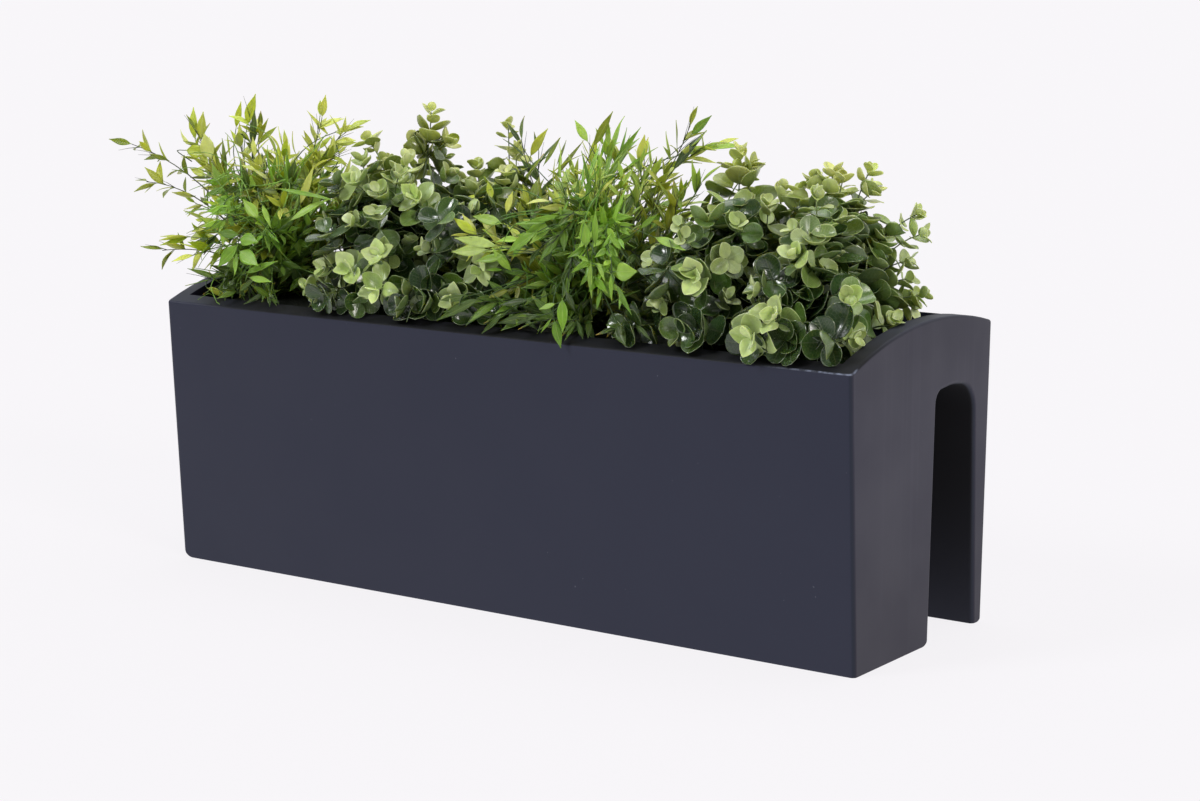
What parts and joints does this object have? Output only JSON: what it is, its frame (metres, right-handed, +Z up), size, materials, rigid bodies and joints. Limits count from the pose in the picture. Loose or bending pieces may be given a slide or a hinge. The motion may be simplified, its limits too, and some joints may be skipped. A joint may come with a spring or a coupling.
{
  "type": "railing planter box",
  "caption": "Straddle-rail balcony planter box: hollow arched trough with a rail slot through its underside, drain plugs, and a lift-out planting of foam and artificial bushes.",
  "frame": {"origin": "on the flat underside of the front leg, at mid-length and mid-depth of the box, where it stands on the floor", "axes": "+X along the length towards the end that the picture shows, +Y from the front wall towards the rear leg, +Z up"},
  "size_m": [0.918, 0.2715, 0.476],
  "materials": {
    "shell": "satin anthracite gel coat",
    "plug": "matte black rubber",
    "foam": "dark dry foam, open cell",
    "bamboo_leaf": "yellow-green coated leaf",
    "bamboo_stem": "moulded dark green",
    "eucalyptus_leaf": "blue-green coated leaf with pale rim",
    "eucalyptus_stem": "moulded light green"
  },
  "bodies": {
    "box": {"planter_shell": "shell"},
    "planting": {"foam_block_left": "foam", "foam_block_middle": "foam", "foam_block_right": "foam", "bamboo_left_foliage": "bamboo_leaf", "bamboo_left_stems": "bamboo_stem", "eucalyptus_left_foliage": "eucalyptus_leaf", "eucalyptus_left_stems": "eucalyptus_stem", "eucalyptus_middle_foliage": "eucalyptus_leaf", "eucalyptus_middle_stems": "eucalyptus_stem", "bamboo_middle_foliage": "bamboo_leaf", "bamboo_middle_stems": "bamboo_stem", "eucalyptus_right_foliage": "eucalyptus_leaf", "eucalyptus_right_stems": "eucalyptus_stem", "eucalyptus_end_foliage": "eucalyptus_leaf", "eucalyptus_end_stems": "eucalyptus_stem"},
    "plug_left": {"drain_plug_left": "plug"},
    "plug_right": {"drain_plug_right": "plug"}
  },
  "joints": [
    {"name": "planting_lift", "type": "slide", "parent": "box", "child": "planting", "axis": [0, 0, 1], "range_m": [0, 0.3]},
    {"name": "plug_left_pull", "type": "slide", "parent": "box", "child": "plug_left", "axis": [0, 0, 1], "range_m": [0, 0.012]},
    {"name": "plug_right_pull", "type": "slide", "parent": "box", "child": "plug_right", "axis": [0, 0, 1], "range_m": [0, 0.012]}
  ]
}
